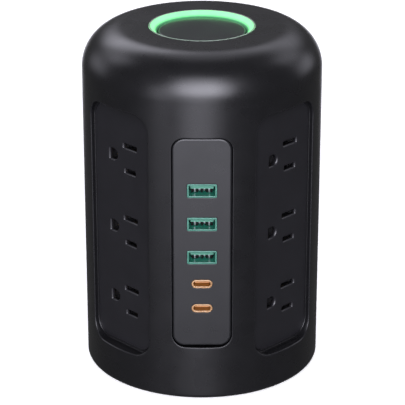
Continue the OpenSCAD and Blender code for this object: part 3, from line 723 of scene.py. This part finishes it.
USB_A_PORTS = [middle(f"usb_a_shell_{i}")[2] for i in (1, 2, 3)]
USB_C_PORTS = [middle(f"usb_c_shell_{i}")[2] for i in (1, 2)]
USB_A_HOLE = (14.4, 7.0, 0.8)
USB_A = (14.2, 6.8, 0.7)
USB_A_OPENING = (12.5, 5.12, 0.25)
USB_A_TONGUE = (11.1, 1.84, 0.25)
TONGUE_UNDER = box("usb_a_tongue_1")[0][2] - USB_A_PORTS[0]
USB_C_HOLE = (10.2, 4.5, 2.25)
USB_C = (10, 4.3, 2.15)
USB_C_OPENING = (8.34, 2.56, 1.28)
USB_C_TONGUE = (6.69, 0.7, 0.12)


def charging_panel():
    """A panel with a flange round its back and a rounded front edge."""
    skin = Skin(raised(FRONT, COLUMN_Z))
    face = CHARGE_FACE
    back = face - 2
    flange_back, flange_front = 52.2, 54.2
    profile = fillet([
        (-3.5, back), (-3.5, flange_back, 0.2), (1, flange_back, 0.2), (1, flange_front, 0.2),
        (0, flange_front), (0, face, 1.0, 8), (-1.2, face), (-1.5, face), (-1.8, face),
    ])
    holes = [rounded_rect(*USB_A_HOLE, 5, at=(0, z - COLUMN_Z)) for z in USB_A_PORTS]
    holes += [rounded_rect(*USB_C_HOLE, 12, at=(0, z - COLUMN_Z)) for z in USB_C_PORTS]
    rim = fillet([
        (0.8, face), (0.6, face), (0.4, face), (0, face, 0.15, 4), (0, face - 0.5), (0, back),
    ])
    plate(skin, rounded_rect(*CHARGE_PANEL, steps=12), profile, holes, rim)
    skin.make("charging_panel_shell", looks["charging_plastic"], "tower", "charging_panel",
              slot="charging_plastic")


def port_shell(name, slot, z, outer, opening, steps, round_over):
    """A collar with a blind opening. round_over is the radius of its two front edges."""
    skin = Skin(raised(FRONT, z))
    outside = fillet([(0, PORT_BACK), (0, PORT_FACE, round_over, 4), (-round_over - 0.08, PORT_FACE)])
    inside = fillet([
        (round_over + 0.02, PORT_FACE), (0, PORT_FACE, round_over, 4), (0, PORT_FACE - 0.6),
        (0, PORT_FLOOR),
    ])
    walls = skin.loft(rounded_rect(*outer, steps=steps), outside)
    mouth = skin.loft(rounded_rect(*opening, steps=steps), inside)
    skin.cap(walls[-1], [mouth[0]])
    skin.cap(mouth[-1])
    skin.cap(walls[0], flip=True)
    skin.make(name + "_collar", looks[slot], "tower", name, slot=slot)


def port_tongue(name, slot, size, setback):
    """The tongue inside a port. Its front is the setback behind the port's face."""
    skin = Skin(raised(FRONT, middle(name)[2]))
    front = PORT_FACE - setback
    profile = fillet([(0, PORT_FLOOR), (0, front, 0.08, 3), (-0.1, front)])
    walls = skin.loft(rounded_rect(*size, steps=4), profile)
    skin.cap(walls[-1])
    skin.cap(walls[0], flip=True)
    skin.make(name + "_blade", looks[slot], "tower", name, slot=slot)


def bar_section(skin, x, half, low, high, d):
    """One section of a flat bar that runs out towards the front."""
    return skin.loop([(x - half, low, d), (x + half, low, d), (x + half, high, d), (x - half, high, d)])


def contact_springs():
    """Four springs under each wide tongue. Each narrows to a tip that bends down to press
    on a plug, so from the front it is a bright V. bend is (distance behind the face, drop
    below the tongue, half width), and the two inner springs drop less."""
    skin = Skin(raised(FRONT, 0))
    bend = [
        (12, 0, 0.4), (8.1, -0.05, 0.4), (6.2, -0.3, 0.4), (5.0, -1.1, 0.4), (4.35, -1.85, 0.22),
        (4.15, -1.95, 0.16), (3.95, -1.8, 0.16), (3.65, -0.6, 0.34), (3.5, -0.05, 0.38),
    ]
    for z in USB_A_PORTS:
        for x, reach in ((-3.45, 1), (-1.15, 0.6), (1.15, 0.6), (3.45, 1)):
            sections = []
            for back, drop, half in bend:
                y, d = z + TONGUE_UNDER + drop * reach, PORT_FACE - back
                sections.append(bar_section(skin, x, half, y - 0.2, y, d))
            skin.bridge_all(sections, smooth=False)
            skin.cap(sections[-1])
            skin.cap(sections[0], flip=True)
    skin.make("contact_springs", looks["zinc_steel"], "tower", "usb_a_contacts", slot="zinc_steel")


def shadow_comb():
    """A black comb under each wide tongue, with a spring in each of its four gaps. It is a dark piece that
    paints the shade beside the springs.
    """
    skin = Skin(raised(FRONT, 0))
    for z in USB_A_PORTS:
        for x in (-4.6, -2.3, 0, 2.3, 4.6):
            top = z + TONGUE_UNDER
            sections = []
            for back, drop in ((11, 2.3), (4.4, 2.3), (4.1, 2.1), (3.8, 0.8)):
                sections.append(bar_section(skin, x, 0.5, top - drop, top, PORT_FACE - back))
            skin.bridge_all(sections, smooth=False)
            skin.cap(sections[-1])
            skin.cap(sections[0], flip=True)
    skin.make("shadow_comb", looks["switch_black"], "tower", slot="switch_black")


charging_panel()
shadow_comb()
for number, port_z in enumerate(USB_A_PORTS, 1):
    port_shell(f"usb_a_shell_{number}", "green_plastic", port_z, USB_A, USB_A_OPENING, 5, 0.2)
    port_tongue(f"usb_a_tongue_{number}", "green_tongue", USB_A_TONGUE, 3.4)
for number, port_z in enumerate(USB_C_PORTS, 1):
    port_shell(f"usb_c_shell_{number}", "orange_plastic", port_z, USB_C, USB_C_OPENING, 10, 0.34)
    port_tongue(f"usb_c_tongue_{number}", "orange_tongue", USB_C_TONGUE, 2.4)
contact_springs()


# ---------- ring and button ----------

def light_ring():
    """A ring that slopes in from the tower's top to the button, with a flange below."""
    skin = Skin()
    low, high = box("light_ring")
    foot, flange_r = low[2], high[0]
    flange_top = CEILING_Z - 0.1
    inner = BUTTON_R + 0.4
    profile = fillet([
        (inner, foot), (flange_r, foot, 0.2), (flange_r, flange_top, 0.2), (RING_R, flange_top),
        (RING_R, TOP_Z, 0.2, 4), (RING_R - 0.55, TOP_Z, 0.15, 4), (inner, BUTTON_FACE - 0.6, 0.25, 4),
        (inner, foot),
    ])
    revolve(skin, profile)
    skin.make("light_ring_lens", looks["ring_diffuser"], "tower", "light_ring", slot="ring_diffuser")


def power_button():
    """A cap with a skirt, a stem and a face that is very slightly hollow."""
    skin = Skin()
    low = button_low[2]
    skirt = BUTTON_FACE - 8
    under = BUTTON_FACE - 2
    stem_r = 4.2
    inner = BUTTON_R - 1.6
    profile = fillet([
        (0, low), (stem_r, low, 0.3), (stem_r, under, 0.3), (inner, under, 0.5), (inner, skirt, 0.3),
        (BUTTON_R, skirt, 0.3), (BUTTON_R, BUTTON_FACE, 0.9, 8), (inner, BUTTON_FACE),
        (12, BUTTON_FACE - 0.12), (0, BUTTON_FACE - 0.2),
    ])
    revolve(skin, profile)
    skin.make("power_button_cap", looks["button_plastic"], "power_button", "power_button",
              slot="button_plastic")


SPRING_WIRE = 0.9
SPRING_TURNS = 5
SPRING_STEPS = 32


def return_spring():
    """The spring under the button, made as long as its CAD node's box. The real one gets shorter as the
    button goes down.
    """
    low, high = box("button_spring")
    length = high[2] - low[2]
    wire_r = SPRING_WIRE / 2
    coil_r = high[0] - wire_r
    steps = SPRING_TURNS * SPRING_STEPS
    skin = Skin()
    loops = []
    for k in range(steps + 1):
        a = 2 * math.pi * SPRING_TURNS * k / steps
        centre_z = low[2] + wire_r + (length - SPRING_WIRE) * k / steps
        around = [(coil_r + wire_r * math.cos(t), centre_z - wire_r * math.sin(t)) for t in even_angles(12)]
        loops.append(skin.loop([(r * math.cos(a), r * math.sin(a), z) for r, z in around]))
    skin.bridge_all(loops)
    skin.cap(loops[0], flip=True)
    skin.cap(loops[-1])
    spring = skin.make("return_spring", looks["zinc_steel"], "tower", "button_spring", slot="zinc_steel")
    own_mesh(spring)


light_ring()
power_button()
return_spring()


# ---------- back ----------

GLAND_Z = middle("cord_gland")[2]
BREAKER_Z = middle("breaker_nut")[2]
GLAND_HOLE_R = 7.2
BREAKER_HOLE_R = 5.7


def service_plate():
    """A panel with a flange round its back and holes for the gland and the breaker."""
    skin = Skin(raised(BACK, SERVICE_Z))
    face = SERVICE_FACE
    back = face - 2.4
    flange_back, flange_front = 49.5, 51.5
    profile = fillet([
        (-3.5, back), (-3.5, flange_back, 0.2), (1, flange_back, 0.2), (1, flange_front, 0.2),
        (0, flange_front), (0, face, 0.4, 5), (-0.6, face), (-0.9, face), (-1.2, face),
    ])
    rim = skin.loft(rounded_rect(*SERVICE_PLATE, steps=10), profile)
    holes = []
    for z, r in ((GLAND_Z, GLAND_HOLE_R), (BREAKER_Z, BREAKER_HOLE_R)):
        edge = fillet([(r + 0.7, face), (r + 0.5, face), (r + 0.3, face), (r, face, 0.15, 3), (r, back)])
        holes.append(skin.loft(circle(at=(0, z - SERVICE_Z)), edge))
    skin.cap(rim[-1], [hole[0] for hole in holes])
    skin.cap(rim[0], [hole[-1] for hole in holes], flip=True)
    skin.make("service_plate_shell", looks["panel_plastic"], "tower", "service_plate", slot="panel_plastic")


def turned(name, look, body, node, z, profile):
    """A piece turned about an axis that runs out of the back."""
    skin = Skin(raised(BACK, z))
    skin.loft(circle(), profile)
    skin.make(name, looks[look], body, node, slot=look)


def cord_gland():
    """A bush with a flange, a nose and a bore for the cord."""
    low, high = box("cord_gland")
    inside, outside, flange_front = low[1], high[1], SERVICE_FACE + 2
    bore_r, body_r, flange_r, nose_r = 4.75, 7, 9, 7.6
    turned("cord_gland_bush", "black_rubber", "tower", "cord_gland", GLAND_Z, fillet([
        (bore_r, inside), (body_r, inside, 0.5), (body_r, SERVICE_FACE), (flange_r, SERVICE_FACE, 0.1),
        (flange_r, flange_front, 0.7), (nose_r, flange_front, 0.3), (nose_r, outside, 0.8),
        (bore_r, outside, 0.6), (bore_r, inside),
    ]))


def breaker_button():
    """A round button with a domed end."""
    low, high = box("breaker_button")
    turned("breaker_button_cap", "reset_red", "breaker_button", "breaker_button", BREAKER_Z, fillet([
        (0, low[1]), (high[0], low[1], 0.3), (high[0], high[1] - 0.25, 0.6), (0, high[1]),
    ]))


def breaker_nut():
    """A hexagon nut with its corners turned off at both ends."""
    skin = Skin(raised(BACK, BREAKER_Z))
    low, high = box("breaker_nut")
    full = high[0]
    flat = full * math.cos(math.pi / 6)
    cut = flat + 0.02
    bore_r, mouth_r = 5.6, 6.0

    def row(limit, d):
        out = []
        for a in even_angles(96):
            across = (a + math.pi / 6) % (math.pi / 3) - math.pi / 6
            r = min(limit, flat / math.cos(across))
            out.append((r * math.cos(a), r * math.sin(a), d))
        return skin.loop(out)

    rows = [row(cut - 0.3, low[1]), row(cut, low[1])]
    for k in range(1, 5):
        rows.append(row(cut + (full - cut) * k / 4, low[1] + 0.5 * (k / 4) ** 1.5))
    for k in range(4, -1, -1):
        rows.append(row(cut + (full - cut) * k / 4, high[1] - 0.5 * (k / 4) ** 1.5))
    rows.append(row(cut - 0.3, high[1]))
    for r, d in ((mouth_r, high[1]), (bore_r, high[1] - 0.3), (bore_r, low[1])):
        rows.append(row(r, d))
    skin.bridge_all([*rows, rows[0]], smooth=False)
    skin.make("breaker_nut_hex", looks["zinc_steel"], "tower", "breaker_nut", slot="zinc_steel")


service_plate()
cord_gland()
breaker_button()
breaker_nut()


# ---------- underside ----------

FOOT_R = 7


def feet():
    """Four round pads with hollow undersides."""
    low, high = box("rubber_feet")
    top, ground, hollow = high[2], low[2], low[2] + 0.3
    reach = high[0] - FOOT_R
    skin = Skin()
    profile = fillet([
        (0, top), (FOOT_R, top), (FOOT_R, ground, 0.5), (FOOT_R - 1.2, ground, 0.2),
        (FOOT_R - 1.6, hollow, 0.2), (0, hollow),
    ])
    for x in (-reach, reach):
        for y in (-reach, reach):
            rows = []
            for r, z in profile:
                rows.append(skin.loop([(x + px, y + py, z) for px, py, _ in ring_of(r, z, even_angles(48))]))
            skin.bridge_all(rows[::-1])
    skin.make("rubber_foot_pads", looks["black_rubber"], "tower", "rubber_feet", slot="black_rubber")


feet()


# ---------- floor and light ----------

FLOOR_REACH = 6000
FLOOR_CELLS = 8
FLOOR_GLOW = 0.55
LIGHT_COLOUR = (0.97, 0.96, 1.08)
LIGHT_METRES_AWAY = 2.2
DIM_WORLD = 0.085


def floor():
    """A pale floor that takes the tower's shadow. It gives off a little light, and more far
    away, where it fades into the white around. Light from below passes through it."""
    skin = Skin()
    lines = [-FLOOR_REACH + 2 * FLOOR_REACH * k / FLOOR_CELLS for k in range(FLOOR_CELLS + 1)]
    skin.bridge_all([skin.loop([(x, y, 0) for x in lines]) for y in lines], closed=False)
    mesh = bpy.data.meshes.new("floor")
    mesh.from_pydata([[c * MM for c in p] for p in skin.points], [], skin.faces)
    look = Look("floor")
    patches = look.ramp(look.noise(400), 0, 1)
    look.link(look.mix(patches, (0.80, 0.80, 0.80), (0.82, 0.82, 0.82)), "Base Color")
    away = look.node("VectorMath", {0: look.where}, operation="LENGTH").outputs["Value"]
    look.link(look.ramp(away, FLOOR_GLOW, 1.0, 0.6, 3.0), "Emission Strength")
    look.set(Roughness=0.9, Specular_IOR_Level=0.1, Emission_Color=(1, 1, 1, 1))
    mesh.materials.append(look.material)
    plane = bpy.data.objects.new("floor", mesh)
    bpy.context.collection.objects.link(plane)
    plane.visible_glossy = False
    plane.visible_diffuse = False
    plane.visible_shadow = False


def soften(tree):
    """Fades a light from its middle to its edges."""
    def node(kind, inputs, **settings):
        return add_node(tree, kind, inputs, settings).outputs

    spot = node("SeparateXYZ", {0: node("NewGeometry", {})["Parametric"]})
    fades = []
    for axis in ("X", "Y"):
        off = node("Math", {0: spot[axis], 1: 0.5}, operation="SUBTRACT")[0]
        off = node("Math", {0: off}, operation="ABSOLUTE")[0]
        fades.append(node("MapRange", {
            "Value": off, "From Min": 0.5, "From Max": 0.08, "To Min": 0.0, "To Max": 1.0,
        }, interpolation_type="SMOOTHSTEP")[0])
    level = node("Math", {0: fades[0], 1: fades[1]}, operation="MULTIPLY")[0]
    tree.links.new(level, tree.nodes["Emission"].inputs["Strength"])


def softbox(name, azimuth, elevation, width, height, radiance):
    """A rectangular light that faces the middle of the tower. Its azimuth is from the
    front, positive to the right, and its sizes are in metres."""
    a, e = math.radians(azimuth), math.radians(elevation)
    data = bpy.data.lights.new(name, "AREA")
    data.shape = "RECTANGLE"
    data.size, data.size_y = width, height
    data.energy = radiance * math.pi * width * height
    data.color = LIGHT_COLOUR
    data.use_nodes = True
    soften(data.node_tree)
    light = bpy.data.objects.new(name, data)
    away = (math.sin(a) * math.cos(e), -math.cos(a) * math.cos(e), math.sin(e))
    target = (0, 0, COLUMN_Z * MM)
    light.location = [t + LIGHT_METRES_AWAY * c for t, c in zip(target, away)]
    light.rotation_euler = (math.pi / 2 - e, 0, a)
    bpy.context.collection.objects.link(light)


def surroundings():
    """White where the camera sees past the floor, and dim as a light."""
    world = bpy.data.worlds.new("studio")
    bpy.context.scene.world = world
    world.use_nodes = True
    tree = world.node_tree
    seen = add_node(tree, "LightPath", {}, {}).outputs["Is Camera Ray"]
    level = add_node(tree, "MapRange", {"Value": seen, "To Min": DIM_WORLD, "To Max": 1.0}, {})
    background = tree.nodes["Background"]
    background.inputs["Color"].default_value = (1, 1, 1, 1)
    tree.links.new(level.outputs[0], background.inputs["Strength"])


STUDIO = [
    # name, azimuth, elevation, width, height, radiance
    ("front", 0, 18, 3.0, 2.2, 10.6),
    ("front_high", 0, 42, 2.4, 1.2, 3.6),
    ("front_low", -3, -14, 2.2, 1.1, 3.1),
    ("front_left", -38, 2, 1.3, 2.6, 1.8),
    ("back_left", -155, 38, 1.7, 1.6, 3.1),
    ("back_right", 153, 38, 1.7, 1.6, 1.35),
    ("back_top", 180, 58, 1.9, 2.4, 0.9),
    ("back_low", 180, 18, 2.4, 1.1, 0.08),
    ("back_under", 180, -12, 2.2, 0.9, 2.2),
    ("left_high", -118, 38, 1.7, 1.4, 1.6),
    ("left_low", -118, 12, 1.7, 1.4, 1.1),
    ("right_high", 118, 38, 1.7, 1.4, 1.3),
    ("right_low", 118, 12, 1.7, 1.4, 1.25),
]

floor()
for light in STUDIO:
    softbox(*light)
surroundings()

bpy.context.scene.view_settings.view_transform = "Standard"
bpy.context.scene.view_settings.look = "None"
